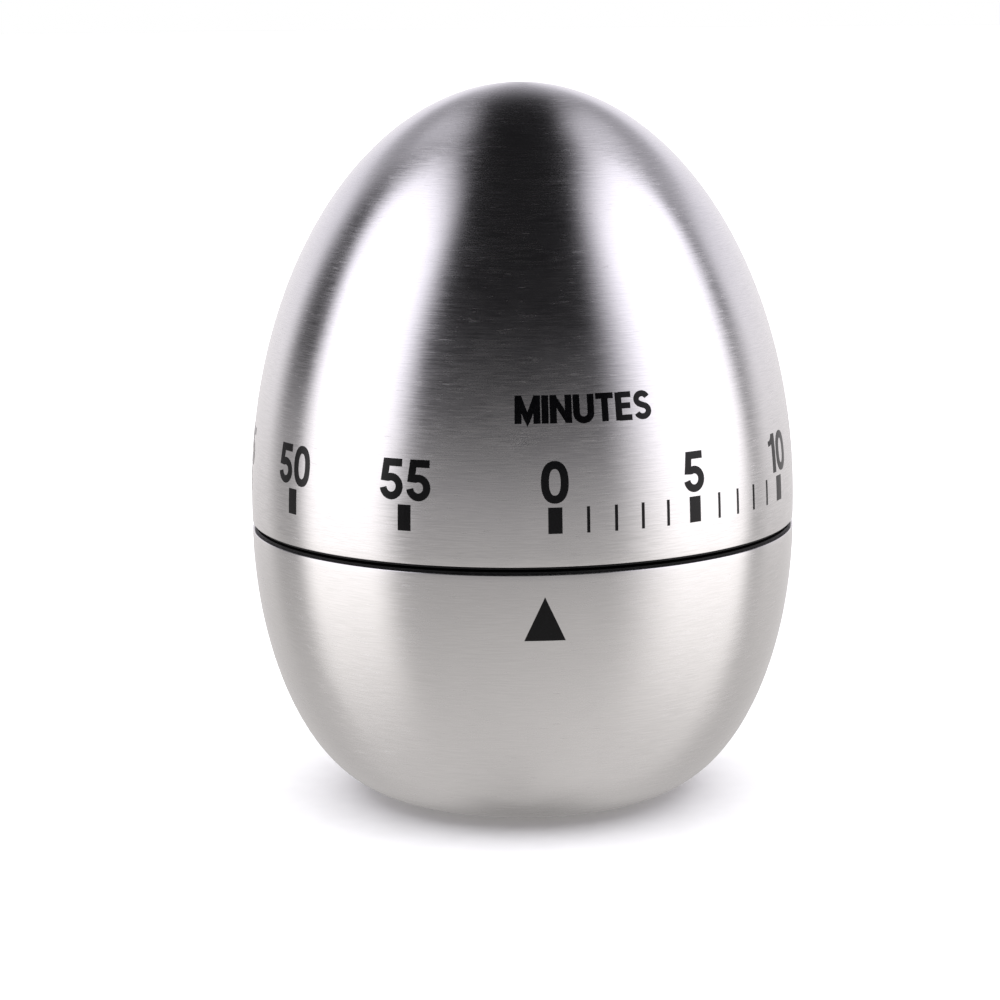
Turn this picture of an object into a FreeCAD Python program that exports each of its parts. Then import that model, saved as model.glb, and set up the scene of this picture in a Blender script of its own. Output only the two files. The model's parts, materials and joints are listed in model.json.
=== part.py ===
import FreeCAD, Part
import math
import os
import Sketcher

# Egg-shaped wind-up kitchen timer with a bell. Millimetres, +Z up. The origin is the
# middle of the pad that it stands on, and the pointer of the fixed half faces -Y.
# The upper half is the dial. It turns about Z on the spindle of a two-plate movement,
# which is screwed into the plastic liner of the lower half, over the bell.

Vector = FreeCAD.Vector
UP = Vector(0, 0, 1)

SIZES = {
    # steel shells
    "body_radius": 30.0,
    "body_height": 78.4,
    "seam_height": 30.5,
    "seam_gap": 0.8,
    "crown_offset": 2.4,
    "base_flat_radius": 14.6,
    "base_lift": 0.4,
    "shell_thickness": 0.6,
    "edge_rounding": 0.25,
    # plastic liners and pad
    "liner_gap": 0.1,
    "liner_wall": 1.2,
    "rim_recess": 0.35,
    "rim_thickness": 0.25,
    "pad_radius": 12.3,
    "pad_gap": 0.1,
    # dial hub
    "hub_height": 3.5,
    "hub_thickness": 1.6,
    "hub_radius": 4.5,
    "hub_length": 11.0,
    "hub_bearing_drop": 3.0,
    "ledge_width": 4.4,
    "ledge_height": 1.6,
    "rib_height": 3.0,
    "rib_thickness": 1.2,
    "rib_end_gap": 0.3,
    "rib_count": 6.0,
    "rib_angle": 30.0,
    "hub_screw_count": 3.0,
    "hub_screw_angle": 90.0,
    # movement plates
    "plate_radius": 22.5,
    "plate_thickness": 1.2,
    "plate_underside": 12.0,
    "plate_spacing": 10.0,
    "pillar_circle": 20.5,
    "pillar_radius": 1.5,
    "pillar_tenon": 0.9,
    "boss_circle": 18.5,
    "boss_radius": 2.4,
    # screws
    "thread_radius": 0.8,
    "thread_length": 5.0,
    "screw_gap": 0.1,
    "screw_head_radius": 1.8,
    "screw_head_height": 0.9,
    "slot_width": 0.4,
    "slot_depth": 0.35,
    # arbors
    "spindle_radius": 1.6,
    "spindle_pivot": 1.2,
    "spindle_flat": 1.2,
    "arbor_radius": 0.5,
    "pivot_radius": 0.35,
    "running_gap": 0.05,
    "shoulder_gap": 0.3,
    "bush_radius": 3.0,
    "bush_flange_radius": 3.8,
    "bush_flange": 0.6,
    # going train
    "pinion_leaves": 8.0,
    "great_teeth": 72.0,
    "great_module": 0.35,
    "second_teeth": 64.0,
    "third_teeth": 48.0,
    "train_module": 0.25,
    "wheel_thickness": 0.7,
    "great_thickness": 0.8,
    "wheel_boss_share": 0.35,
    "wheel_window_share": 0.88,
    "wheel_rim_modules": 2.5,
    "pinion_length": 1.5,
    "second_angle": 20.0,
    "third_angle": 112.6,
    "escape_angle": 150.0,
    "balance_angle": 177.8,
    "balance_distance": 6.0,
    "great_level": 6.4,
    "second_level": 8.3,
    "third_level": 3.2,
    "escape_level": 5.0,
    "balance_level": 8.2,
    "escape_radius": 4.5,
    "escape_teeth": 20.0,
    "escape_tooth_depth": 0.7,
    "balance_radius": 5.0,
    "balance_rim": 1.1,
    "balance_spokes": 3.0,
    "pallet_reach": 3.2,
    "pallet_spread": 75.0,
    "pallet_width": 0.5,
    "clutch_radius": 4.0,
    "clutch_thickness": 0.5,
    "collar_radius": 3.0,
    "collar_height": 1.4,
    "clutch_collar_height": 0.7,
    # alarm
    "barrel_teeth": 60.0,
    "barrel_module": 0.42,
    "barrel_level": 0.8,
    "barrel_floor": 0.8,
    "barrel_radius": 9.5,
    "barrel_wall": 0.7,
    "barrel_depth": 3.8,
    "barrel_cover": 0.5,
    "spring_thickness": 0.35,
    "spring_turns": 6.5,
    "spring_side_gap": 0.3,
    "spring_bore_gap": 0.4,
    "star_angle": 185.0,
    "star_level": 8.0,
    "star_radius": 4.5,
    "star_teeth": 12.0,
    "star_tooth_depth": 1.0,
    "hammer_circle": 19.5,
    "hammer_angle": 201.1,
    "hammer_pallet_reach": 2.2,
    "hammer_pallet_width": 1.0,
    "hammer_arm_length": 8.76,
    "hammer_arm_angle": 72.3,
    "hammer_arm_width": 2.0,
    "hammer_arm_thickness": 1.0,
    "hammer_boss_radius": 1.5,
    "hammer_arm_drop": 0.8,
    "hammer_head_radius": 1.5,
    "hammer_head_length": 6.2,
    "bell_radius": 13.0,
    "bell_height": 5.0,
    "bell_wall": 0.8,
    "bell_lift": 1.6,
    "bell_shoulder": 3.5,
    "bell_post_radius": 2.5,
    # alarm release and stop, above the top plate
    "cam_radius": 11.5,
    "cam_thickness": 1.0,
    "cam_level": 1.6,
    "cam_notch_width": 3.0,
    "cam_notch_depth": 1.5,
    "lever_circle": 17.0,
    "lever_stud_angle": 320.0,
    "lever_arm_angle": 92.2,
    "lever_length": 10.9,
    "lever_tail": 4.0,
    "lever_width": 1.4,
    "lever_nose": 0.5,
    "lever_stud_radius": 0.8,
    "lever_stud_collar": 1.2,
    "lever_spring_thickness": 0.3,
    "lever_spring_length": 7.0,
    "lever_spring_gap": 1.6,
    "stop_circle": 9.8,
    "stop_angle": 90.0,
    "stop_half_gap": 5.0,
    "stop_pin_radius": 0.5,
    "stop_tab_thickness": 0.5,
    "stop_tab_width": 2.0,
    "clip_radius": 3.0,
    "clip_thickness": 0.4,
    "clip_gap": 0.4,
}

PILLAR_ANGLES = (350.0, 122.0, 236.0)
BOSS_ANGLES = (25.0, 150.0, 270.0)

# Straight-sided teeth, in modules: the addendum, the dedendum, and half the tooth's
# thickness at the pitch circle, at the tip and at the root.
WHEEL_TOOTH = (1.0, 1.2, 0.55, 0.25, 0.60)
LEAF_TOOTH = (0.8, 1.35, 0.50, 0.30, 0.30)
TOOTH_LEAN = 0.2
WINDOW_ANGLES = (45.0, 135.0, 225.0, 315.0)
SPRING_POINTS_PER_TURN = 16
HEAD_UP, HEAD_DOWN = 1.0, -1.0
SAME_PLACE = 1e-6

doc = FreeCAD.newDocument("kitchen_timer")
sheet = doc.addObject("Spreadsheet::Sheet", "Sizes")
for row, (alias, value) in enumerate(SIZES.items(), start=1):
    sheet.set("A%d" % row, alias)
    sheet.set("B%d" % row, str(value))
    sheet.setAlias("B%d" % row, alias)
doc.recompute()


class Size:
    """A number together with the spreadsheet formula that gives it."""

    def __init__(self, value, text):
        self.value = value
        self.text = text

    def __float__(self):
        return self.value

    def __neg__(self):
        return Size(-self.value, "(-1 * %s)" % self.text)

    def __add__(self, other):
        return Size(self.value + float(other), "(%s + %s)" % (self.text, text_of(other)))

    def __radd__(self, other):
        return self + other

    def __sub__(self, other):
        return Size(self.value - float(other), "(%s - %s)" % (self.text, text_of(other)))

    def __rsub__(self, other):
        return -self + other

    def __mul__(self, other):
        return Size(self.value * float(other), "(%s * %s)" % (self.text, text_of(other)))

    def __rmul__(self, other):
        return self * other

    def __truediv__(self, other):
        return Size(self.value / float(other), "(%s / %s)" % (self.text, text_of(other)))

    def __rtruediv__(self, other):
        return Size(float(other) / self.value, "(%s / %s)" % (text_of(other), self.text))


def text_of(number):
    return number.text if isinstance(number, Size) else repr(float(number))


def size(alias):
    return Size(float(sheet.get(alias)), "Sizes." + alias)


def cosine(angle):
    return Size(math.cos(math.radians(float(angle))), "cos(%s)" % text_of(angle))


def sine(angle):
    return Size(math.sin(math.radians(float(angle))), "sin(%s)" % text_of(angle))


def root(number):
    return Size(math.sqrt(float(number)), "sqrt(%s)" % text_of(number))


def polar(radius, angle, centre=(0.0, 0.0)):
    return centre[0] + radius * cosine(angle), centre[1] + radius * sine(angle)


def around(count, first=0.0):
    """The angles of a number of equal steps round a circle."""
    steps = int(float(count))
    return [first + 360.0 * step / steps for step in range(steps)]


# ---- heights and places that several pieces share -------------------------------------

seam = size("seam_height")
lower_edge = seam - size("seam_gap") / 2
upper_edge = seam + size("seam_gap") / 2
crown_centre = seam + size("crown_offset")
crown_rise = size("body_height") - crown_centre
shell_floor = size("base_lift") + size("shell_thickness")
liner_offset = size("shell_thickness") + size("liner_gap")
liner_inside = liner_offset + size("liner_wall")
floor_top = size("base_lift") + liner_inside
gear_floor = size("plate_underside") + size("plate_thickness")
gear_ceiling = gear_floor + size("plate_spacing")
plate_top = gear_ceiling + size("plate_thickness")
cam_underside = plate_top + size("cam_level")
hub_underside = seam + size("hub_height")
hub_seat = hub_underside - size("hub_bearing_drop")
hub_top = hub_seat + size("hub_length")
rim_radius = size("body_radius") - size("rim_recess")
second_distance = (size("great_teeth") + size("pinion_leaves")) / 2 * size("great_module")
third_distance = (size("second_teeth") + size("pinion_leaves")) / 2 * size("train_module")
escape_distance = (size("third_teeth") + size("pinion_leaves")) / 2 * size("train_module")
star_distance = (size("barrel_teeth") + size("pinion_leaves")) / 2 * size("barrel_module")
CENTRE = (0.0, 0.0)
SECOND = polar(second_distance, size("second_angle"))
THIRD = polar(third_distance, size("third_angle"), SECOND)
ESCAPE = polar(escape_distance, size("escape_angle"), THIRD)
BALANCE = polar(size("balance_distance"), size("balance_angle"), ESCAPE)
STAR = polar(star_distance, size("star_angle"))
HAMMER = polar(size("hammer_circle"), size("hammer_angle"))
LEVER = polar(size("lever_circle"), size("lever_stud_angle"))
PILLARS = [polar(size("pillar_circle"), angle) for angle in PILLAR_ANGLES]
BOSSES = [polar(size("boss_circle"), angle) for angle in BOSS_ANGLES]

sub_parts = []


# ---- ways of making a piece ------------------------------------------------------------

def bind(item, name, number):
    if isinstance(number, Size):
        item.setExpression(name, number.text)
    else:
        setattr(item, name, number)


def place(item, spot=CENTRE, height=0.0, turn=0.0):
    """Put an item at a spot and a height, turned about Z, with the place kept bound."""
    base = Vector(float(spot[0]), float(spot[1]), float(height))
    item.Placement = FreeCAD.Placement(base, FreeCAD.Rotation(UP, float(turn)))
    for name, number in (("x", spot[0]), ("y", spot[1]), ("z", height)):
        if isinstance(number, Size):
            item.setExpression("Placement.Base." + name, number.text)


def named(item, label):
    """Make an item a sub-part, which is written to a file of its own."""
    item.Label = label
    sub_parts.append(item)
    return item


def cylinder(radius, length, spot=CENTRE, height=0.0):
    item = doc.addObject("Part::Cylinder", "Cylinder")
    bind(item, "Radius", radius)
    bind(item, "Height", length)
    place(item, spot, height)
    return item


def block(length, width, height, spot=CENTRE, level=0.0, turn=0.0):
    item = doc.addObject("Part::Box", "Block")
    bind(item, "Length", length)
    bind(item, "Width", width)
    bind(item, "Height", height)
    place(item, spot, level, turn)
    return item


def joined(items):
    item = doc.addObject("Part::MultiFuse", "Joined")
    item.Shapes = items
    return item


def cut(base, tools):
    item = doc.addObject("Part::Cut", "Cut")
    item.Base = base
    item.Tool = tools[0] if len(tools) == 1 else joined(tools)
    return item


def grouped(items):
    """Several equal pieces, each a solid of its own."""
    item = doc.addObject("Part::Compound", "Group")
    item.Links = items
    return item


def solid(shape):
    item = doc.addObject("Part::Feature", "Solid")
    item.Shape = shape
    return item


def origin_plane(body, role):
    return [item for item in body.Origin.OriginFeatures if item.Role == role][0]


def new_sketch(body, role):
    sketch = body.newObject("Sketcher::SketchObject", "Outline")
    sketch.AttachmentSupport = [(origin_plane(body, role), "")]
    sketch.MapMode = "FlatFace"
    return sketch


def pin_point(sketch, kind, ends, distance):
    """Hold a sketch point at a distance from the origin, on either side of it."""
    axis = -2 if kind == "DistanceX" else -1
    if float(distance) == 0.0:
        sketch.addConstraint(Sketcher.Constraint("PointOnObject", ends[0], ends[1], axis))
        return
    if float(distance) < 0.0:
        distance = -distance
        number = sketch.addConstraint(Sketcher.Constraint(kind, *ends, -1, 1, float(distance)))
    else:
        number = sketch.addConstraint(Sketcher.Constraint(kind, -1, 1, *ends, float(distance)))
    if isinstance(distance, Size):
        sketch.setExpression("Constraints[%d]" % number, distance.text)


def draw_outline(sketch, outline):
    """A closed outline of straight lines, with every corner held by its two distances."""
    corners = [Vector(float(x), float(y), 0) for x, y in outline]
    first = sketch.GeometryCount
    count = len(corners)
    for start, end in zip(corners, corners[1:] + corners[:1]):
        sketch.addGeometry(Part.LineSegment(start, end), False)
    for index in range(count):
        following = first + (index + 1) % count
        sketch.addConstraint(Sketcher.Constraint("Coincident", first + index, 2, following, 1))
    for index, (x, y) in enumerate(outline):
        pin_point(sketch, "DistanceX", (first + index, 1), x)
        pin_point(sketch, "DistanceY", (first + index, 1), y)


def draw_circle(sketch, radius, x=0.0, y=0.0):
    centre = Vector(float(x), float(y), 0)
    index = sketch.addGeometry(Part.Circle(centre, UP, float(radius)), False)
    number = sketch.addConstraint(Sketcher.Constraint("Radius", index, float(radius)))
    if isinstance(radius, Size):
        sketch.setExpression("Constraints[%d]" % number, radius.text)
    pin_point(sketch, "DistanceX", (index, 3), x)
    pin_point(sketch, "DistanceY", (index, 3), y)


def turned(outline, spot=CENTRE, height=0.0):
    """A body turned about Z from an outline of (radius, height) corners."""
    body = doc.addObject("PartDesign::Body", "Turned")
    sketch = new_sketch(body, "XZ_Plane")
    draw_outline(sketch, outline)
    turning = body.newObject("PartDesign::Revolution", "Turning")
    turning.Profile = sketch
    turning.ReferenceAxis = (sketch, ["V_Axis"])
    turning.Angle = 360.0
    place(body, spot, height)
    return body


def flat(outline, circles, thickness, spot=CENTRE, height=0.0, turn=0.0):
    """A flat body: an outline of corners, with round holes of (radius, x, y)."""
    body = doc.addObject("PartDesign::Body", "Flat")
    sketch = new_sketch(body, "XY_Plane")
    if outline:
        draw_outline(sketch, outline)
    for circle in circles:
        draw_circle(sketch, *circle)
    pad = body.newObject("PartDesign::Pad", "Pad")
    pad.Profile = sketch
    bind(pad, "Length", thickness)
    place(body, spot, height, turn)
    return body


# ---- shared shapes ---------------------------------------------------------------------

def ellipse_arc(centre_radius, centre_height, reach, rise, start, end):
    """An arc of an upright ellipse in the XZ plane, from angle start to end off +Z."""
    centre = Vector(centre_radius, 0, centre_height)
    top = centre + Vector(0, 0, rise)
    side = centre + Vector(reach, 0, 0)
    return Part.ArcOfEllipse(Part.Ellipse(top, side, centre), start, end)


def dome_arc(offset, lowest):
    """The crown's wall line, a distance inside the outer surface, down to a height."""
    rise = float(crown_rise) - offset
    reach = float(size("body_radius")) - offset
    end = math.acos((lowest - float(crown_centre)) / rise)
    return ellipse_arc(0.0, float(crown_centre), reach, rise, 0.0, end)


def bowl_arc(offset, highest):
    """The lower half's wall line, a distance inside its outer surface, up to a height."""
    rise = float(seam - size("base_lift")) - offset
    reach = float(size("body_radius") - size("base_flat_radius")) - offset
    start = math.acos((highest - float(seam)) / rise)
    return ellipse_arc(float(size("base_flat_radius")), float(seam), reach, rise, start, math.pi)


def revolved(curves, corners):
    """Turn the closed outline of some curves and the straight lines that join them."""
    edges = [curve.toShape() for curve in curves]
    for start, end in corners:
        edges.append(Part.makeLine(start, end))
    wire = Part.Wire(Part.__sortEdges__(edges))
    return Part.Face(wire).revolve(Vector(0, 0, 0), UP, 360)


def at(radius, height):
    return Vector(float(radius), 0, float(height))


def rounded_rim(shape, radius, height, rounding):
    """Round the circular edge of a radius at a height."""
    edges = []
    for edge in shape.Edges:
        box = edge.BoundBox
        level = abs(box.ZMin - height) < SAME_PLACE and abs(box.ZMax - height) < SAME_PLACE
        if level and abs(box.XMax - radius) < SAME_PLACE:
            edges.append(edge)
    return shape.makeFillet(rounding, edges)


def toothed_disc(teeth, module, thickness, tooth, phase):
    """A wheel or pinion blank: straight-sided teeth, the first one at angle phase."""
    teeth, module = int(float(teeth)), float(module)
    pitch_radius = teeth * module / 2
    addendum, dedendum, pitch_half, tip_half, root_half = tooth
    root_radius = pitch_radius - dedendum * module
    tip_radius = pitch_radius + addendum * module
    flank = (
        (root_radius, -root_half), (pitch_radius, -pitch_half), (tip_radius, -tip_half),
        (tip_radius, tip_half), (pitch_radius, pitch_half), (root_radius, root_half),
    )
    corners = []
    for middle in around(teeth, float(phase)):
        for radius, half in flank:
            angle = math.radians(middle) + half * module / radius
            corners.append(Vector(radius * math.cos(angle), radius * math.sin(angle), 0))
    corners.append(corners[0])
    return Part.Face(Part.makePolygon(corners)).extrude(Vector(0, 0, float(thickness)))


def drilled(shape, radius):
    """Bore a shape along Z, right through."""
    box = shape.BoundBox
    return shape.cut(Part.makeCylinder(float(radius), box.ZLength, Vector(0, 0, box.ZMin)))


def crossed_out(shape, inner, outer, thickness):
    """Four round windows that lighten a wheel."""
    radius = (outer - inner) / 2
    middle = (outer + inner) / 2
    for angle in WINDOW_ANGLES:
        spot = Vector(middle * math.cos(math.radians(angle)), middle * math.sin(math.radians(angle)), 0)
        shape = shape.cut(Part.makeCylinder(radius, float(thickness), spot))
    return shape


def wheel(label, teeth, module, thickness, bore, spot, height, phase):
    """A train wheel with its windows between the bore's boss and the rim."""
    shape = drilled(toothed_disc(teeth, module, thickness, WHEEL_TOOTH, phase), bore)
    rim = float(teeth * module / 2 - size("wheel_rim_modules") * module)
    boss, window = float(size("wheel_boss_share")), float(size("wheel_window_share"))
    shape = crossed_out(shape, rim * boss, rim * window, thickness)
    return named_at(shape, label, spot, height)


def pinion(label, module, length, spot, height, phase):
    shape = toothed_disc(size("pinion_leaves"), module, length, LEAF_TOOTH, phase)
    return named_at(drilled(shape, size("arbor_radius")), label, spot, height)


def named_at(shape, label, spot, height):
    item = named(solid(shape), label)
    place(item, spot, height)
    return item


def ratchet_disc(teeth, tip, depth, thickness, bore):
    """A wheel with teeth that lean one way."""
    corners = []
    tip_radius, root_radius = float(tip), float(tip - depth)
    pitch = 2 * math.pi / int(float(teeth))
    for tooth in range(int(float(teeth))):
        for radius, turn in ((tip_radius, 0.0), (root_radius, TOOTH_LEAN)):
            angle = (tooth + turn) * pitch
            corners.append(Vector(radius * math.cos(angle), radius * math.sin(angle), 0))
    corners.append(corners[0])
    blank = Part.Face(Part.makePolygon(corners)).extrude(Vector(0, 0, float(thickness)))
    return drilled(blank, bore)


def arbor(label, spot):
    """A thin arbor between the plates, with a pivot in each."""
    body, pivot, start = size("arbor_radius"), size("pivot_radius"), size("plate_underside")
    shoulder = gear_floor + size("shoulder_gap") - start
    foot = [(0.0, 0.0), (pivot, 0.0), (pivot, shoulder), (body, shoulder)]
    return named(turned(foot + arbor_top(start), spot, start), label)


def arbor_top(start):
    """The shoulder and the upper pivot of an arbor whose lower end is at a height."""
    body, pivot = size("arbor_radius"), size("pivot_radius")
    shoulder, end = gear_ceiling - size("shoulder_gap") - start, plate_top - start
    return [(body, shoulder), (pivot, shoulder), (pivot, end), (0.0, end)]


def screw(spot, seat, reach, facing):
    """A slotted cheese-head screw whose head bears at height seat, with a shank of a length."""
    shank, rim, head = size("thread_radius"), size("screw_head_radius"), size("screw_head_height")
    body = turned([
        (0.0, -facing * reach), (shank, -facing * reach), (shank, 0.0), (rim, 0.0),
        (rim, facing * head), (0.0, facing * head),
    ], spot, seat)
    width, depth = size("slot_width"), size("slot_depth")
    level = seat + facing * (head - depth / 2) - depth / 2
    slot = block(2 * rim, width, depth, (spot[0] - rim, spot[1] - width / 2), level)
    return cut(body, [slot])


# ---- steel shells ----------------------------------------------------------------------

def upper_shell():
    """The domed steel skin of the dial half, open at the seam."""
    thickness, edge = float(size("shell_thickness")), float(upper_edge)
    outer, inner = dome_arc(0.0, edge), dome_arc(thickness, edge)
    shape = revolved([outer, inner], [
        (outer.EndPoint, inner.EndPoint),
        (outer.StartPoint, inner.StartPoint),
    ])
    shape = rounded_rim(shape, outer.EndPoint.x, edge, float(size("edge_rounding")))
    named(solid(shape), "upper_shell")


def lower_shell():
    """The steel cup of the fixed half, with a round opening in its flat floor."""
    thickness, edge = float(size("shell_thickness")), float(lower_edge)
    opening = float(size("pad_radius") + size("pad_gap"))
    outer, inner = bowl_arc(0.0, edge), bowl_arc(thickness, edge)
    shape = revolved([outer, inner], [
        (outer.StartPoint, inner.StartPoint),
        (outer.EndPoint, at(opening, size("base_lift"))),
        (at(opening, size("base_lift")), at(opening, shell_floor)),
        (at(opening, shell_floor), inner.EndPoint),
    ])
    shape = rounded_rim(shape, outer.StartPoint.x, edge, float(size("edge_rounding")))
    named(solid(shape), "lower_shell")


# ---- plastic liners and pad ------------------------------------------------------------

def base_liner():
    """The plastic cup inside the lower shell. Its rim is the lower half of the black seam."""
    edge = float(lower_edge)
    rim_top = lower_edge + size("rim_thickness")
    outer, inner = bowl_arc(float(liner_offset), edge), bowl_arc(float(liner_inside), float(rim_top))
    foot = float(size("base_flat_radius"))
    wall = revolved([outer, inner], [
        (inner.StartPoint, at(rim_radius, rim_top)),
        (at(rim_radius, rim_top), at(rim_radius, edge)),
        (at(rim_radius, edge), outer.StartPoint),
        (inner.EndPoint, at(0, inner.EndPoint.z)),
        (at(0, inner.EndPoint.z), at(0, shell_floor)),
        (at(0, shell_floor), at(foot, shell_floor)),
        (at(foot, shell_floor), outer.EndPoint),
    ])
    seat = float(size("plate_underside"))
    core_line = bowl_arc(float(liner_offset), seat)
    core = revolved([core_line], [
        (core_line.StartPoint, at(0, seat)),
        (at(0, seat), at(0, core_line.EndPoint.z)),
        (at(0, core_line.EndPoint.z), core_line.EndPoint),
    ])
    for x, y in BOSSES:
        spot = Vector(float(x), float(y), float(shell_floor))
        boss = Part.makeCylinder(float(size("boss_radius")), seat - spot.z, spot)
        wall = wall.fuse(boss.common(core))
    depth = float(size("thread_length"))
    for x, y in BOSSES:
        spot = Vector(float(x), float(y), seat - depth)
        wall = wall.cut(Part.makeCylinder(float(size("thread_radius")), depth, spot))
    named(solid(wall), "base_liner")


def dial_liner():
    """The plastic dome inside the upper shell, with the ledge that the hub seats under."""
    edge = float(upper_edge)
    rim_bottom = upper_edge - size("rim_thickness")
    outer = dome_arc(float(liner_offset), edge)
    inner = dome_arc(float(liner_inside), float(rim_bottom))
    wall = revolved([outer, inner], [
        (outer.StartPoint, inner.StartPoint),
        (outer.EndPoint, at(rim_radius, edge)),
        (at(rim_radius, edge), at(rim_radius, rim_bottom)),
        (at(rim_radius, rim_bottom), inner.EndPoint),
    ])
    ledge_bottom = float(hub_underside + size("hub_thickness"))
    ledge_inner = float(hub_disc_radius() - size("ledge_width"))
    height = float(size("ledge_height"))
    ledge = Part.makeCylinder(float(size("body_radius")), height, Vector(0, 0, ledge_bottom))
    ledge = ledge.cut(Part.makeCylinder(ledge_inner, height, Vector(0, 0, ledge_bottom)))
    inside = revolved([outer], [
        (outer.EndPoint, at(0, edge)),
        (at(0, edge), outer.StartPoint),
    ])
    wall = wall.fuse(ledge.common(inside))
    for x, y in hub_screw_spots():
        spot = Vector(float(x), float(y), ledge_bottom)
        wall = wall.cut(Part.makeCylinder(float(size("thread_radius")), height, spot))
    named(solid(wall), "dial_liner")


def hub_disc_radius():
    """The hub's disc clears the liner's wall at the height of its own upper face."""
    reach = size("body_radius") - liner_inside
    rise = crown_rise - liner_inside
    share = (hub_underside + size("hub_thickness") - crown_centre) / rise
    return reach * root(1.0 - share * share) - size("liner_gap")


def hub_screw_spots():
    circle = hub_disc_radius() - size("ledge_width") / 2
    first = float(size("hub_screw_angle"))
    return [polar(circle, angle) for angle in around(size("hub_screw_count"), first)]


def base_pad():
    """The rubber disc set in the shell's opening, on which the timer stands."""
    radius, height = size("pad_radius"), shell_floor
    chamfer = size("edge_rounding")
    named(turned([(0.0, 0.0), (radius - chamfer, 0.0), (radius, chamfer), (radius, height),
                  (0.0, height)]), "base_pad")


# ---- dial: hub, spindle, cam -----------------------------------------------------------

def dial_hub():
    """The disc and tube that carry the dial on the spindle, with stiffening ribs."""
    radius, tube, bore = hub_disc_radius(), size("hub_radius"), size("spindle_radius")
    disc_low = size("hub_bearing_drop")
    disc_high = disc_low + size("hub_thickness")
    blank = turned([
        (bore, 0.0), (tube, 0.0), (tube, disc_low), (radius, disc_low), (radius, disc_high),
        (tube, disc_high), (tube, size("hub_length")), (bore, size("hub_length")),
    ], CENTRE, hub_seat)
    rib_end = radius - size("ledge_width") - size("rib_end_gap")
    ribs = []
    for angle in around(size("rib_count"), float(size("rib_angle"))):
        spot = polar(tube - size("rib_thickness") / 2, angle)
        side = polar(size("rib_thickness") / 2, angle - 90.0, spot)
        ribs.append(block(rib_end - tube, size("rib_thickness"), size("rib_height"), side,
                          hub_seat + disc_high, angle))
    key_length = hub_top - hub_underside
    key = cylinder(bore, key_length, CENTRE, hub_underside)
    side = 2 * bore
    spare = block(side, side, key_length, (-bore, size("spindle_flat") - side), hub_underside)
    flat_key = cut(key, [spare])
    holes = [cylinder(size("thread_radius") + size("screw_gap"), size("hub_thickness"), spot,
                      hub_underside) for spot in hub_screw_spots()]
    named(joined([cut(joined([blank] + ribs), holes), flat_key]), "dial_hub")


def hub_screws():
    """Short screws, driven from below through the hub's disc into the ledge."""
    reach = size("hub_thickness") + size("ledge_height")
    screws = [screw(spot, hub_underside, reach, HEAD_DOWN) for spot in hub_screw_spots()]
    named(grouped(screws), "hub_screws")


def spindle():
    """The main arbor, from the bottom plate up, flattened from the hub's disc to its top."""
    radius, pivot, start = size("spindle_radius"), size("spindle_pivot"), size("plate_underside")
    shoulder = gear_floor + size("shoulder_gap")
    collar = size("collar_radius")
    body = turned([
        (0.0, 0.0), (pivot, 0.0), (pivot, shoulder - start), (radius, shoulder - start),
        (radius, hub_seat - size("collar_height") - start),
        (collar, hub_seat - size("collar_height") - start),
        (collar, hub_seat - start), (radius, hub_seat - start), (radius, hub_top - start),
        (0.0, hub_top - start),
    ], CENTRE, start)
    flat_cut = block(2 * radius, 2 * radius, hub_top - hub_underside,
                     (-radius, size("spindle_flat")), hub_underside)
    named(cut(body, [flat_cut]), "spindle")


def cam_disc():
    """The programme disc on the spindle, with the notch that lets the alarm go."""
    radius = size("cam_radius")
    disc = flat([], [(radius,), (size("spindle_radius"),)], size("cam_thickness"), CENTRE,
                cam_underside)
    depth, width = size("cam_notch_depth"), size("cam_notch_width")
    spot = polar(radius - depth, 0.0)
    notch = block(depth * 2, width, size("cam_thickness"), (spot[0], -width / 2), cam_underside)
    named(cut(disc, [notch]), "cam_disc")


def stop_pin():
    """The pin under the cam that meets the tab of the top plate at both ends of the turn."""
    spot = polar(size("stop_circle"), size("stop_angle") - size("stop_half_gap"))
    drop = size("cam_level") - size("shoulder_gap")
    named(cylinder(size("stop_pin_radius"), drop, spot, cam_underside - drop), "stop_pin")


def spindle_clip():
    """The snap ring that keeps the spindle down, just over the bush."""
    inner, outer = size("spindle_radius"), size("clip_radius")
    ring = flat([], [(outer,), (inner,)], size("clip_thickness"), CENTRE, clip_level())
    mouth = block(outer, inner, size("clip_thickness"), (0.0, -inner / 2), clip_level())
    named(cut(ring, [mouth]), "spindle_clip")


def clip_level():
    return cam_underside - size("clip_thickness") - size("clip_gap")


# ---- movement frame --------------------------------------------------------------------

def bottom_plate():
    """The lower plate, screwed to the liner's bosses."""
    low, thickness = size("plate_underside"), size("plate_thickness")
    disc = cylinder(size("plate_radius"), thickness, CENTRE, low)
    pivot = size("pivot_radius") + size("running_gap")
    holes = [cylinder(size("spindle_pivot") + size("running_gap"), thickness, CENTRE, low)]
    holes += [cylinder(pivot, thickness, spot, low)
              for spot in (SECOND, THIRD, ESCAPE, BALANCE, STAR)]
    holes.append(cylinder(size("arbor_radius") + size("running_gap"), thickness, HAMMER, low))
    holes += [cylinder(size("pillar_tenon"), thickness, spot, low) for spot in PILLARS]
    screw_hole = size("thread_radius") + size("screw_gap")
    holes += [cylinder(screw_hole, thickness, spot, low) for spot in BOSSES]
    named(cut(disc, holes), "bottom_plate")


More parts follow.
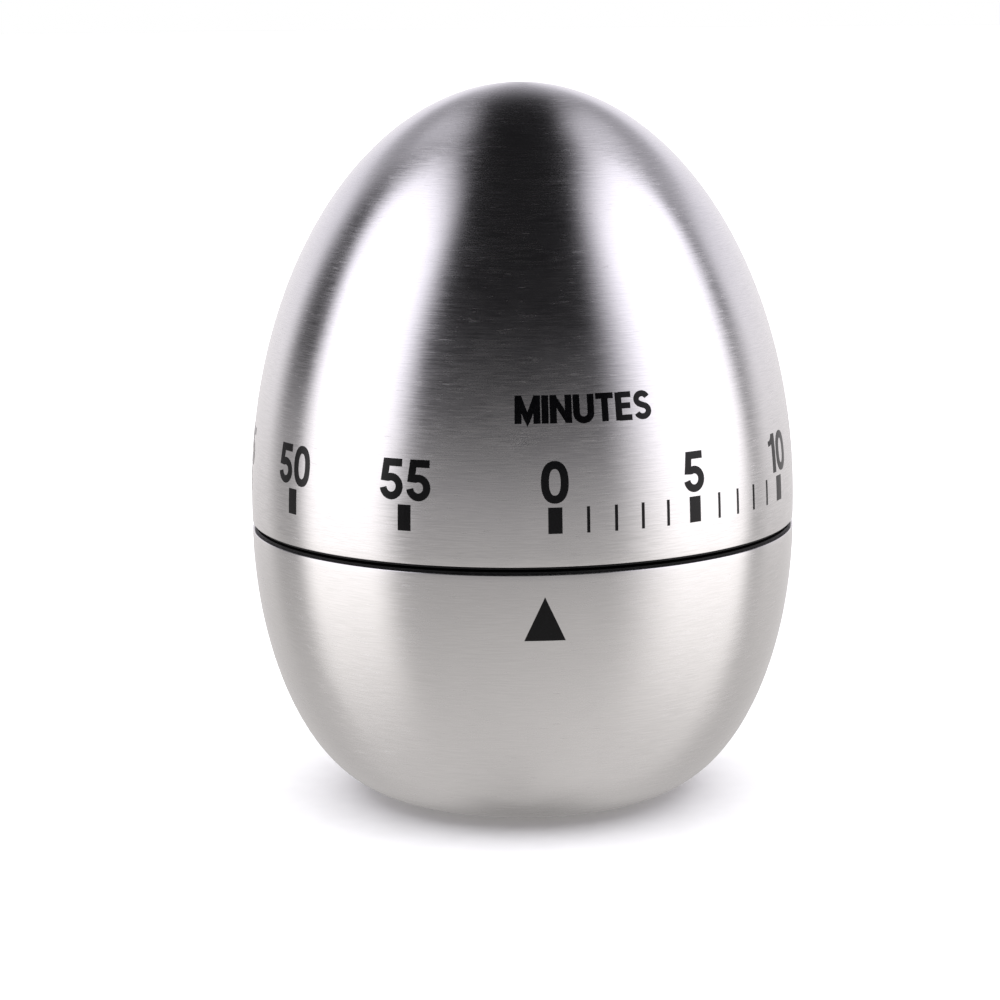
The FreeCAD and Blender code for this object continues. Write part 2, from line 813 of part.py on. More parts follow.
def top_plate():
    """The upper plate, with the tab that stops the dial at both ends of its turn."""
    low, thickness = gear_ceiling, size("plate_thickness")
    disc = cylinder(size("plate_radius"), thickness, CENTRE, low)
    pivot = size("pivot_radius") + size("running_gap")
    holes = [cylinder(size("bush_radius"), thickness, CENTRE, low)]
    holes += [cylinder(pivot, thickness, spot, low)
              for spot in (SECOND, THIRD, ESCAPE, BALANCE, STAR, HAMMER)]
    screw_hole = size("thread_radius") + size("screw_gap")
    holes += [cylinder(screw_hole, thickness, spot, low) for spot in PILLARS]
    holes.append(cylinder(size("lever_stud_radius"), thickness, LEVER, low))
    width, tab = size("stop_tab_width"), size("stop_tab_thickness")
    middle = polar(size("stop_circle") - width / 2, size("stop_angle"))
    corner = polar(tab / 2, size("stop_angle") - 90.0, middle)
    height = thickness + size("cam_level") - size("shoulder_gap")
    stop = block(width, tab, height, corner, low, size("stop_angle"))
    named(joined([cut(disc, holes), stop]), "top_plate")


def plate_pillars():
    """Three pillars, riveted to the bottom plate and tapped at the top for the screws."""
    radius, tenon = size("pillar_radius"), size("pillar_tenon")
    bore, start = size("thread_radius"), size("plate_underside")
    foot = gear_floor - start
    length = gear_ceiling - start
    tapped = length - size("thread_length") + size("plate_thickness")
    outline = [(0.0, 0.0), (tenon, 0.0), (tenon, foot), (radius, foot), (radius, length),
               (bore, length), (bore, tapped), (0.0, tapped)]
    named(grouped([turned(outline, spot, start) for spot in PILLARS]), "plate_pillars")


def pillar_screws():
    """Screws through the top plate, whose threads reach the bottom of the pillars' holes."""
    reach = size("thread_length")
    screws = [screw(spot, plate_top, reach, HEAD_UP) for spot in PILLARS]
    named(grouped(screws), "pillar_screws")


def movement_screws():
    """Screws through the bottom plate, whose threads reach the bottom of the boss holes."""
    reach = size("thread_length") + size("plate_thickness")
    screws = [screw(spot, gear_floor, reach, HEAD_UP) for spot in BOSSES]
    named(grouped(screws), "movement_screws")


def spindle_bush():
    """The brass bearing of the spindle, pressed in the top plate."""
    bore, outer = size("spindle_radius") + size("running_gap"), size("bush_radius")
    flange, thickness = size("bush_flange_radius"), size("plate_thickness")
    top = thickness + size("bush_flange")
    named(turned([(bore, 0.0), (outer, 0.0), (outer, thickness), (flange, thickness),
                  (flange, top), (bore, top)], CENTRE, gear_ceiling), "spindle_bush")


# ---- going train -----------------------------------------------------------------------

def great_wheel():
    """The wheel that the spindle drives through its friction clutch."""
    phase = size("second_angle")
    wheel("great_wheel", size("great_teeth"), size("great_module"), size("great_thickness"),
          size("spindle_radius"), CENTRE, gear_floor + size("great_level"), phase)


def clutch():
    """The dished washer that presses the great wheel, and the collar that loads it."""
    bore, low = size("spindle_radius"), gear_floor + size("great_level") + size("great_thickness")
    radius, thickness = size("clutch_radius"), size("clutch_thickness")
    collar, dish = size("collar_radius"), thickness * 2
    named(turned([
        (radius - thickness, 0.0), (radius, 0.0), (radius, thickness / 2), (collar, dish),
        (bore, dish), (bore, thickness),
    ], CENTRE, low), "clutch_spring")
    height = size("clutch_collar_height")
    named(turned([(bore, 0.0), (collar, 0.0), (collar, height), (bore, height)], CENTRE,
                 low + dish), "clutch_collar")


def gap_phase(direction):
    """The turn that sets a pinion's gap on the line to the wheel that drives it."""
    return direction + 180.0 + 180.0 / size("pinion_leaves")


def train_arbor(name, spot, module, drive, pinion_level, teeth, wheel_level, next_direction):
    """One arbor of the going train, with its pinion, and its wheel if it has one."""
    length = size("pinion_length")
    arbor(name + "_arbor", spot)
    low = gear_floor + pinion_level - (length - size("wheel_thickness")) / 2
    pinion(name + "_pinion", module, length, spot, low, gap_phase(drive))
    if teeth is not None:
        wheel(name + "_wheel", teeth, size("train_module"), size("wheel_thickness"),
              size("arbor_radius"), spot, gear_floor + wheel_level, next_direction)


def going_train():
    train_arbor("second", SECOND, size("great_module"), size("second_angle"), size("great_level"),
                size("second_teeth"), size("second_level"), size("third_angle"))
    train_arbor("third", THIRD, size("train_module"), size("third_angle"), size("second_level"),
                size("third_teeth"), size("third_level"), size("escape_angle"))
    train_arbor("escape", ESCAPE, size("train_module"), size("escape_angle"), size("third_level"),
                None, None, None)
    disc = ratchet_disc(size("escape_teeth"), size("escape_radius"), size("escape_tooth_depth"),
                        size("wheel_thickness"), size("arbor_radius"))
    named_at(disc, "escape_wheel", ESCAPE, gear_floor + size("escape_level"))


def balance():
    """The arbor that swings between the escape wheel's teeth, with its pallet and rim."""
    arbor("balance_arbor", BALANCE)
    bore, radius, rim = size("arbor_radius"), size("balance_radius"), size("balance_rim")
    thickness, level = size("wheel_thickness"), gear_floor + size("balance_level")
    ring = flat([], [(radius,), (radius - rim,)], thickness, BALANCE, level)
    boss = flat([], [(bore + rim,), (bore,)], thickness, BALANCE, level)
    spokes = []
    for angle in around(size("balance_spokes")):
        spot = polar(bore + rim / 2, angle, BALANCE)
        corner = polar(rim / 2, angle - 90.0, spot)
        spokes.append(block(radius - rim - bore, rim, thickness, corner, level, angle))
    named(joined([ring, boss] + spokes), "balance_wheel")
    width, reach = size("pallet_width"), size("pallet_reach")
    low = gear_floor + size("escape_level")
    hub = flat([], [(bore + width,), (bore,)], thickness, BALANCE, low)
    arms = []
    for side in (-1.0, 1.0):
        angle = size("balance_angle") + 180.0 + side * size("pallet_spread")
        spot = polar(bore + width / 2, angle, BALANCE)
        corner = polar(width / 2, angle - 90.0, spot)
        arms.append(block(reach - bore, width, thickness, corner, low, angle))
    named(joined([hub] + arms), "pallet")


# ---- mainspring and alarm --------------------------------------------------------------

def alarm_barrel():
    """The toothed drum round the mainspring, free to turn on the spindle."""
    floor, low = float(size("barrel_floor")), gear_floor + size("barrel_level")
    outer, depth = float(size("barrel_radius")), float(size("barrel_depth"))
    shape = toothed_disc(size("barrel_teeth"), size("barrel_module"), floor, WHEEL_TOOTH,
                         size("star_angle"))
    drum = Part.makeCylinder(outer, depth, Vector(0, 0, floor))
    drum = drum.cut(Part.makeCylinder(outer - float(size("barrel_wall")), depth, Vector(0, 0, floor)))
    bore = size("spindle_radius") + size("running_gap")
    named_at(drilled(shape.fuse(drum), bore), "alarm_barrel", CENTRE, low)
    top = low + size("barrel_floor") + size("barrel_depth")
    cover = flat([], [(size("barrel_radius"),), (bore,)], size("barrel_cover"), CENTRE, top)
    named(cover, "barrel_cover")


def mainspring():
    """The coiled blade in the barrel, from the spindle's hook to the barrel's wall."""
    half, turns = float(size("spring_thickness")) / 2, float(size("spring_turns"))
    inner = float(size("spindle_radius") + size("spring_bore_gap")) + half
    outer = float(size("barrel_radius") - size("barrel_wall")) - half
    height = float(size("barrel_depth") - size("spring_side_gap"))

    def side(offset):
        points = []
        steps = int(turns * SPRING_POINTS_PER_TURN)
        for step in range(steps + 1):
            angle = 2 * math.pi * turns * step / steps
            radius = inner + (outer - inner) * step / steps + offset
            points.append(Vector(radius * math.cos(angle), radius * math.sin(angle), 0))
        curve = Part.BSplineCurve()
        curve.interpolate(points)
        return curve

    near, far = side(-half), side(half)
    edges = [near.toShape(), Part.makeLine(near.EndPoint, far.EndPoint), far.toShape(),
             Part.makeLine(far.StartPoint, near.StartPoint)]
    face = Part.Face(Part.Wire(Part.__sortEdges__(edges)))
    low = gear_floor + size("barrel_level") + size("barrel_floor")
    named_at(face.extrude(Vector(0, 0, height)), "mainspring", CENTRE, low)


def star():
    """The fast wheel of the alarm, driven by the barrel's teeth."""
    arbor("star_arbor", STAR)
    low = gear_floor + size("barrel_level") - (size("pinion_length") - size("barrel_floor")) / 2
    pinion("star_pinion", size("barrel_module"), size("pinion_length"), STAR, low,
           gap_phase(size("star_angle")))
    disc = ratchet_disc(size("star_teeth"), size("star_radius"), size("star_tooth_depth"),
                        size("wheel_thickness"), size("arbor_radius"))
    named_at(disc, "star_wheel", STAR, gear_floor + size("star_level"))


def hammer():
    """The arbor that the star wheel kicks, and its arm and head, which strike the bell."""
    thickness, bore = size("hammer_arm_thickness"), size("arbor_radius")
    arm_low = size("plate_underside") - size("hammer_arm_drop") - thickness
    named(turned([(0.0, 0.0), (bore, 0.0)] + arbor_top(arm_low), HAMMER, arm_low), "hammer_arbor")
    hammer_pallet()
    angle, length, width = size("hammer_arm_angle"), size("hammer_arm_length"), size("hammer_arm_width")
    boss = cylinder(size("hammer_boss_radius"), thickness, HAMMER, arm_low)
    bar = block(length, width, thickness, polar(width / 2, angle - 90.0, HAMMER), arm_low, angle)
    head_spot = polar(length, angle, HAMMER)
    end = cylinder(size("hammer_head_radius"), thickness, head_spot, arm_low)
    hole = cylinder(bore, thickness, HAMMER, arm_low)
    named(cut(joined([boss, bar, end]), [hole]), "hammer_arm")
    drop = size("hammer_head_length") - thickness
    named(cylinder(size("hammer_head_radius"), drop, head_spot, arm_low - drop), "hammer_head")


def hammer_pallet():
    """The finger on the hammer's arbor that points at the star wheel."""
    level, thickness, bore = gear_floor + size("star_level"), size("wheel_thickness"), size("arbor_radius")
    width = size("hammer_pallet_width")
    hub = flat([], [(bore + width / 2,), (bore,)], thickness, HAMMER, level)
    angle = star_direction()
    start = bore + width / 4
    corner = polar(width / 2, angle - 90.0, polar(start, angle, HAMMER))
    finger = block(size("hammer_pallet_reach") - start, width, thickness, corner, level, angle)
    named(joined([hub, finger]), "hammer_pallet")


def star_direction():
    """The direction from the hammer's arbor to the star wheel's."""
    step_x = float(STAR[0]) - float(HAMMER[0])
    step_y = float(STAR[1]) - float(HAMMER[1])
    return math.degrees(math.atan2(step_y, step_x))


def bell():
    """The dished bell, whose shoulder is rounded off through one corner."""
    radius, wall, height = size("bell_radius"), size("bell_wall"), size("bell_height")
    bore = size("thread_radius")
    shoulder = size("bell_shoulder")
    half, dip = shoulder / 2, shoulder / 8
    named(turned([
        (radius - wall, 0.0), (radius, 0.0), (radius, height - half), (radius - half, height - dip),
        (radius - shoulder, height), (bore, height), (bore, height - wall),
        (radius - shoulder, height - wall), (radius - half - wall, height - dip - wall),
        (radius - wall, height - half - wall / 2),
    ], CENTRE, floor_top + size("bell_lift")), "bell")


def bell_post():
    """The tapped post on the liner's floor that carries the bell."""
    radius, thread = size("bell_post_radius"), size("thread_radius")
    height = size("bell_lift") + size("bell_height") - size("bell_wall")
    bottom = height + size("bell_wall") - size("thread_length")
    named(turned([(0.0, 0.0), (radius, 0.0), (radius, height), (thread, height), (thread, bottom),
                  (0.0, bottom)], CENTRE, floor_top), "bell_post")


def bell_screw():
    seat = floor_top + size("bell_lift") + size("bell_height")
    named(screw(CENTRE, seat, size("thread_length"), HEAD_UP), "bell_screw")


def release_lever():
    """The sprung lever whose nose rides at the cam's edge and locks the star wheel."""
    width, nose, length = size("lever_width"), size("lever_nose"), size("lever_length")
    tail = size("lever_tail")
    bore = size("lever_stud_radius") + size("running_gap")
    outline = [
        (-tail, -width / 2), (width, -width), (length - width, -width / 2), (length, nose),
        (length - width, width / 2), (width, width), (-tail, width / 2),
    ]
    named(flat(outline, [(bore,)], size("cam_thickness"), LEVER, cam_underside,
               float(size("lever_arm_angle"))), "release_lever")


def lever_stud():
    """The stud riveted in the top plate, with a shoulder under the lever and a head over it."""
    stud, collar, plate = size("lever_stud_radius"), size("lever_stud_collar"), size("plate_thickness")
    shoulder = cam_underside - gear_ceiling - size("running_gap")
    head = cam_underside - gear_ceiling + size("cam_thickness") + size("running_gap")
    end = head + size("clip_thickness")
    named(turned([
        (0.0, 0.0), (stud, 0.0), (stud, plate), (collar, plate), (collar, shoulder),
        (stud, shoulder), (stud, head), (collar, head), (collar, end), (0.0, end),
    ], LEVER, gear_ceiling), "lever_stud")


def lever_spring():
    """The thin blade that stands on the top plate beside the lever's tail."""
    angle = size("lever_arm_angle")
    reach = size("lever_width") / 2 + size("lever_spring_gap")
    middle = polar(reach, angle + 90.0, LEVER)
    corner = polar(-1.0 * size("lever_tail") - size("lever_width"), angle, middle)
    height = cam_underside + size("cam_thickness") - plate_top
    named(block(size("lever_spring_length"), size("lever_spring_thickness"), height, corner, plate_top,
                angle), "lever_spring")


def check_and_write():
    """Stop at any failed object, then write each sub-part to a file named after it."""
    failed = [item.Label for item in doc.Objects if {"Invalid", "Error"} & set(item.State)]
    for item in sub_parts:
        if item.Shape.isNull() or not item.Shape.isValid():
            failed.append(item.Label)
    if failed:
        raise RuntimeError("failed objects: " + ", ".join(failed))
    os.makedirs("parts", exist_ok=True)
    for item in sub_parts:
        item.Shape.exportStep("parts/%s.step" % item.Label)


for build in (upper_shell, lower_shell, base_liner, dial_liner, base_pad, dial_hub, hub_screws,
              spindle, cam_disc, stop_pin, spindle_clip, bottom_plate, top_plate, plate_pillars,
              pillar_screws, movement_screws, spindle_bush, great_wheel, clutch, going_train,
              balance, alarm_barrel, mainspring, star, hammer, bell, bell_post, bell_screw,
              release_lever, lever_stud, lever_spring):
    build()
doc.recompute()
check_and_write()
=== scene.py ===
import json
import math

import bmesh
import bpy
from mathutils import Matrix, Vector


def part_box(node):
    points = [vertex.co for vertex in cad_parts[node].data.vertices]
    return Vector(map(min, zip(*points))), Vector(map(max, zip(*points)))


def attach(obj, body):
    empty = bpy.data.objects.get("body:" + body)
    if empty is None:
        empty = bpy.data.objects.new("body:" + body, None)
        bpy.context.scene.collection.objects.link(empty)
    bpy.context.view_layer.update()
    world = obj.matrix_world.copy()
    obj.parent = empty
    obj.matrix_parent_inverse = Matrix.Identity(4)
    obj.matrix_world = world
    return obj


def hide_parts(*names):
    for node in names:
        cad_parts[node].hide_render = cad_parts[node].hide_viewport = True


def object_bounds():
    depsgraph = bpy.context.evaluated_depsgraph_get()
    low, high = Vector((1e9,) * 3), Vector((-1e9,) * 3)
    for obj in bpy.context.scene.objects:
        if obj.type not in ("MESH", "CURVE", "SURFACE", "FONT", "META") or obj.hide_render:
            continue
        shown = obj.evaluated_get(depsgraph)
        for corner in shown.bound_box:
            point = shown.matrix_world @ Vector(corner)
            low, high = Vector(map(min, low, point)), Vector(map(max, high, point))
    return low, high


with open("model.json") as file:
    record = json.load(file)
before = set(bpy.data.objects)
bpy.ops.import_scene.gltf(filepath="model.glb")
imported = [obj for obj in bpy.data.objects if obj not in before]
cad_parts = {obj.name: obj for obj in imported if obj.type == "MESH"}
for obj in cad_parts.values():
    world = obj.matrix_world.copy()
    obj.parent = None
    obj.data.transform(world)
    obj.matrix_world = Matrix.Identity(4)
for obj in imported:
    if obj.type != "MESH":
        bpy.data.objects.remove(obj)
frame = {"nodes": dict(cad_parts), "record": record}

cad_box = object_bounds()

MM = 0.001

# The shells, as the frame has them: the dome is half an ellipse, the bowl an ellipse
# pushed out from the axis by the radius of its flat floor. They share the widest radius
# that stays inside the CAD box on all four sides.
DIAL_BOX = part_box("upper_shell")
BASE_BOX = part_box("lower_shell")
BODY_RADIUS = min(-cad_box[0][0], -cad_box[0][1], cad_box[1][0], cad_box[1][1])
BODY_HEIGHT = DIAL_BOX[1][2]
UPPER_EDGE = DIAL_BOX[0][2]
LOWER_EDGE = BASE_BOX[1][2]
BASE_LIFT = BASE_BOX[0][2]
SEAM_HEIGHT = (UPPER_EDGE + LOWER_EDGE) / 2
CROWN_RISE = 45.5 * MM
CROWN_CENTRE = BODY_HEIGHT - CROWN_RISE
FLOOR_RADIUS = 14.6 * MM
FLOOR_OPENING = 12.4 * MM
SHELL_THICKNESS = 0.6 * MM
EDGE_ROUNDING = 0.08 * MM
SEGMENTS = 288
RINGS = 72
EDGE_STEPS = 6

# Printing on the shells. Azimuths are degrees from -Y, positive towards +X.
ZERO_AZIMUTH = 2.1
MINUTE_STEP = 6.0
DIAL_MINUTES = 60
MARK_SPACING = 5
MARK_BOTTOM = 34.33 * MM
MARK_TOP = 37.01 * MM
MARK_WIDTH = 1.45 * MM
TICK_WIDTH = 0.33 * MM
MARK_STEPS = 6
TICK_SPACING = 5.65
TICK_PLACES = (-1.5, -0.5, 0.5, 1.5)
TICKED_MARKS = (0, 5)
NUMERAL_BOTTOM = 37.45 * MM
NUMERAL_HEIGHT = 4.2 * MM
LEGEND_BOTTOM = 45.4 * MM
LEGEND_HEIGHT = 2.85 * MM
LEGEND_AZIMUTH = 8.7
LEGEND_GAP = 0.09
LEGEND_WEIGHT = 1.2
INK_LIFT = 0.012 * MM
INK_DEPTH = 0.05 * MM
POINTER_TOP = 27.8 * MM
POINTER_BOTTOM = 23.2 * MM
POINTER_WIDTH = 4.25 * MM
POINTER_STEPS = 12
POINTER_COLUMNS = (-1.0, -0.5, 0.0, 0.5, 1.0)
POINTER_TIP = 0.01

# In units of a figure's height: the usual widths of its upright and of its other
# strokes, the gap between figures, and the longest straight piece left undivided. The
# last value limits how far a stroke's corner may sharpen.
STROKE = 0.205
BAR = 0.175
FIGURE_GAP = 0.075
LONGEST_PIECE = 0.09
SHARPEST_LEAN = 0.45

# Camera: where it looks, from where, and the small shift of its frame.
CAMERA_TARGET = Vector((0.0, 0.0, SEAM_HEIGHT))
CAMERA_DISTANCE = 306.2 * MM
CAMERA_AZIMUTH = -4.2
CAMERA_ELEVATION = 10.835
CAMERA_ROLL = -0.502
CAMERA_LENS = 98.8
CAMERA_SENSOR = 36.0
CAMERA_SHIFT = (-0.0227, 0.0159)
CAMERA_NEAREST = 10.0 * MM

# The studio's brightness by elevation in degrees, in front of the object and behind it.
# Azimuths from here on are degrees from the camera's, positive to the right.
FRONT_LIGHT = [(-90, 0.42), (-60, 0.50), (-38, 0.46), (-15, 0.355), (-4, 0.29), (5, 0.155),
               (14, 0.045), (25, 0.024), (45, 0.009), (65, 0.006), (90, 0.010)]
BACK_LIGHT = [(-90, 0.43), (-60, 0.47), (-38, 0.43), (-15, 0.50), (5, 0.70), (18, 0.66),
              (34, 0.30), (45, 0.46), (55, 0.50), (66, 0.22), (76, 0.03), (90, 0.010)]
BEHIND_ON_LEFT = (-138.0, -120.0)
BEHIND_ON_RIGHT = (110.0, 128.0)
RIGHT_GAIN = 1.12
RIGHT_GAIN_RISE = (-20.0, 50.0)

# The light boxes' inner and outer edges in azimuth, each low down and high up, the
# elevations between which the edges lean, and those where the boxes begin and end.
LEFT_BOX = (((49, 67), (43, 61)), ((96, 111), (107, 119)))
RIGHT_BOX = (((35, 73), (33, 66)), ((101.5, 114), (111.5, 121)))
INNER_EDGE_LEAN = (-8.0, 10.0)
OUTER_EDGE_LEAN = (12.0, 42.0)
BOX_FOOT = (-58.0, 8.0)
BOX_HEAD = (64.0, 80.0)
BOX_LIGHT = 1.25

# The dark ceiling: its edges sideways of the camera's axis, in front and behind, and the
# elevations over which it begins.
CEILING_EDGE = ((0.32, 0.66), (0.17, 0.36))
CEILING_RISE = (28.0, 48.0)
DARK_CEILING = 0.009

# The floor behind the object lies in its shade, close to the camera's axis.
SHADED_SIDEWAYS = (0.05, 0.30)
SHADED_FROM = (-84.0, -66.0)
SHADED_TO = (-30.0, -10.0)
SHADED_FLOOR = 0.26

# Warm light from low down, cooler light from higher up, and the whole studio's strength.
LOW_TINT = (1.0, 0.965, 0.955)
HIGH_TINT = (0.98, 0.95, 1.05)
TINT_RISE = (-20.0, 25.0)
STUDIO_GAIN = 1.43
BACKDROP = (1.0, 1.0, 1.0, 1.0)

# The paper floor and the lamp that lights it.
PAPER_RADIUS = 6.0
PAPER_SEGMENTS = 96
PAPER_DARK = (0.90, 0.90, 0.90)
PAPER_LIGHT = (0.92, 0.92, 0.92)
PAPER_ROUGHNESS = 0.9
PAPER_GAP = 0.05 * MM
FLOOR_LIGHT = 4.2
FLOOR_LIGHT_SPREAD = 100.0

# The brushed steel's tones and relief, and how deep the brushing shows on each shell.
STEEL_DARK = (0.66, 0.655, 0.65)
STEEL_LIGHT = (0.76, 0.752, 0.745)
STEEL_WORN = (0.84, 0.835, 0.83)
BRUSH_RELIEF = 0.02 * MM
DOME_BRUSHING = 1.0
BOWL_BRUSHING = 0.6

# The looks of the record's slots that CAD nodes keep, and of the printing ink.
SLOT_LOOKS = {
    "black_plastic": dict(dark=(0.003, 0.003, 0.0033), light=(0.007, 0.007, 0.0075),
                          roughness=(0.42, 0.55), scale=2500.0, Specular_IOR_Level=0.15),
    "pad_rubber": dict(dark=(0.015, 0.015, 0.015), light=(0.03, 0.03, 0.03),
                       roughness=(0.7, 0.85), scale=1800.0, relief=0.03 * MM),
    "plate_steel": dict(dark=(0.50, 0.51, 0.52), light=(0.64, 0.64, 0.64),
                        roughness=(0.28, 0.42), scale=700.0, metallic=1.0),
    "screw_steel": dict(dark=(0.58, 0.58, 0.59), light=(0.70, 0.70, 0.70),
                        roughness=(0.2, 0.34), scale=1400.0, metallic=1.0),
    "arbor_steel": dict(dark=(0.55, 0.55, 0.57), light=(0.68, 0.68, 0.69),
                        roughness=(0.16, 0.28), scale=1600.0, metallic=1.0),
    "gear_brass": dict(dark=(0.62, 0.43, 0.17), light=(0.80, 0.60, 0.28),
                       roughness=(0.24, 0.40), scale=800.0, metallic=1.0),
    "spring_steel": dict(dark=(0.13, 0.16, 0.25), light=(0.27, 0.30, 0.38),
                         roughness=(0.25, 0.4), scale=900.0, metallic=1.0),
    "bell_metal": dict(dark=(0.66, 0.65, 0.62), light=(0.78, 0.77, 0.74),
                       roughness=(0.12, 0.24), scale=500.0, metallic=1.0),
}
INK_LOOK = dict(dark=(0.0005, 0.0005, 0.0007), light=(0.0015, 0.0015, 0.0018),
                roughness=(0.06, 0.11), scale=3000.0, relief=0.001 * MM, Specular_IOR_Level=0.22)


# ---- surfaces --------------------------------------------------------------------------

def dome_radius(height, inset=0.0):
    share = (height - CROWN_CENTRE) / (CROWN_RISE - inset)
    return (BODY_RADIUS - inset) * math.sqrt(max(0.0, 1.0 - share * share))


def bowl_radius(height, inset=0.0):
    share = (SEAM_HEIGHT - height) / (SEAM_HEIGHT - BASE_LIFT - inset)
    reach = BODY_RADIUS - FLOOR_RADIUS - inset
    return FLOOR_RADIUS + reach * math.sqrt(max(0.0, 1.0 - share * share))


def on_surface(radius_at, azimuth, height, lift):
    """A point on a shell at an azimuth in radians, lifted off along the surface's normal."""
    step = 0.01 * MM
    slope = (radius_at(height + step) - radius_at(height - step)) / (2 * step)
    length = math.hypot(1.0, slope)
    radius = radius_at(height) + lift / length
    level = height - lift * slope / length
    return Vector((radius * math.sin(azimuth), -radius * math.cos(azimuth), level))


# ---- mesh helpers ----------------------------------------------------------------------

def new_piece(name, mesh_maker, smooth=True):
    """An object whose mesh a function fills in."""
    mesh = bpy.data.meshes.new(name)
    bm = bmesh.new()
    mesh_maker(bm)
    bmesh.ops.recalc_face_normals(bm, faces=bm.faces)
    bm.to_mesh(mesh)
    bm.free()
    for polygon in mesh.polygons:
        polygon.use_smooth = smooth
    piece = bpy.data.objects.new(name, mesh)
    bpy.context.scene.collection.objects.link(piece)
    return piece


def oval(centre, reach, rise, start, end, steps=20):
    """Points on an upright oval's arc, angles in degrees."""
    points = []
    for step in range(steps + 1):
        angle = math.radians(start + (end - start) * step / steps)
        points.append((centre[0] + reach * math.cos(angle), centre[1] + rise * math.sin(angle)))
    return points


def lathe(bm, profile, segments):
    """Turn a closed profile of (radius, height) points about Z. Radius 0 makes a pole."""
    rings = []
    for radius, height in profile:
        if radius < 1e-7:
            rings.append([bm.verts.new((0.0, 0.0, height))])
            continue
        ring = []
        for step in range(segments):
            angle = 2 * math.pi * step / segments
            spot = (radius * math.sin(angle), -radius * math.cos(angle), height)
            ring.append(bm.verts.new(spot))
        rings.append(ring)
    for first, second in zip(rings, rings[1:] + rings[:1]):
        if len(first) == 1 and len(second) == 1:
            continue
        for step in range(segments):
            following = (step + 1) % segments
            if len(first) == 1:
                bm.faces.new((first[0], second[step], second[following]))
            elif len(second) == 1:
                bm.faces.new((first[step], second[0], first[following]))
            else:
                bm.faces.new((first[step], second[step], second[following], first[following]))


# ---- shells ----------------------------------------------------------------------------

def dome_line(inset, lowest, rings):
    """The dome's wall line from the crown down to a height."""
    rise = CROWN_RISE - inset
    last = math.acos((lowest - CROWN_CENTRE) / rise)
    points = []
    for ring in range(rings + 1):
        angle = last * ring / rings
        radius = (BODY_RADIUS - inset) * math.sin(angle)
        points.append((radius, CROWN_CENTRE + rise * math.cos(angle)))
    return points


def bowl_line(inset, highest, rings):
    """The bowl's wall line from a height down to its flat floor."""
    rise = SEAM_HEIGHT - BASE_LIFT - inset
    reach = BODY_RADIUS - FLOOR_RADIUS - inset
    first = math.acos((highest - SEAM_HEIGHT) / rise)
    points = []
    for ring in range(rings + 1):
        angle = first + (math.pi - first) * ring / rings
        radius = FLOOR_RADIUS + reach * math.sin(angle)
        points.append((radius, SEAM_HEIGHT + rise * math.cos(angle)))
    return points


def make_dial_shell():
    """The steel dome, with its wall's thickness and the rounded edge at the seam."""
    edge = UPPER_EDGE + EDGE_ROUNDING
    outer = dome_line(0.0, edge, RINGS)
    corner = (outer[-1][0] - EDGE_ROUNDING, edge)
    rim = oval(corner, EDGE_ROUNDING, EDGE_ROUNDING, 0.0, -90.0, EDGE_STEPS)[1:]
    inner = dome_line(SHELL_THICKNESS, UPPER_EDGE, RINGS // 2)
    profile = outer + rim + inner[::-1]
    return new_piece("dial_shell", lambda bm: lathe(bm, profile, SEGMENTS))


def make_base_shell():
    """The steel bowl, open in the middle of its floor for the pad."""
    edge = LOWER_EDGE - EDGE_ROUNDING
    outer = bowl_line(0.0, edge, RINGS)
    corner = (outer[0][0] - EDGE_ROUNDING, edge)
    rim = oval(corner, EDGE_ROUNDING, EDGE_ROUNDING, 90.0, 0.0, EDGE_STEPS)[:-1]
    inner = bowl_line(SHELL_THICKNESS, LOWER_EDGE, RINGS // 2)
    lip = [(FLOOR_OPENING, BASE_LIFT), (FLOOR_OPENING, BASE_LIFT + SHELL_THICKNESS)]
    profile = rim + outer + lip + inner[::-1]
    return new_piece("base_shell", lambda bm: lathe(bm, profile, SEGMENTS))


# ---- printed figures -------------------------------------------------------------------

def zero_loop():
    """A closed superellipse, a little squarer than an oval."""
    points = []
    squareness = 2.35
    middle, reach, rise = (0.34, 0.5), 0.238, 0.415
    steps = 48
    for step in range(steps):
        angle = 2 * math.pi * step / steps
        cosine, sine = math.cos(angle), math.sin(angle)
        x = math.copysign(abs(cosine) ** (2 / squareness), cosine)
        y = math.copysign(abs(sine) ** (2 / squareness), sine)
        points.append((middle[0] + reach * x, middle[1] + rise * y))
    return points


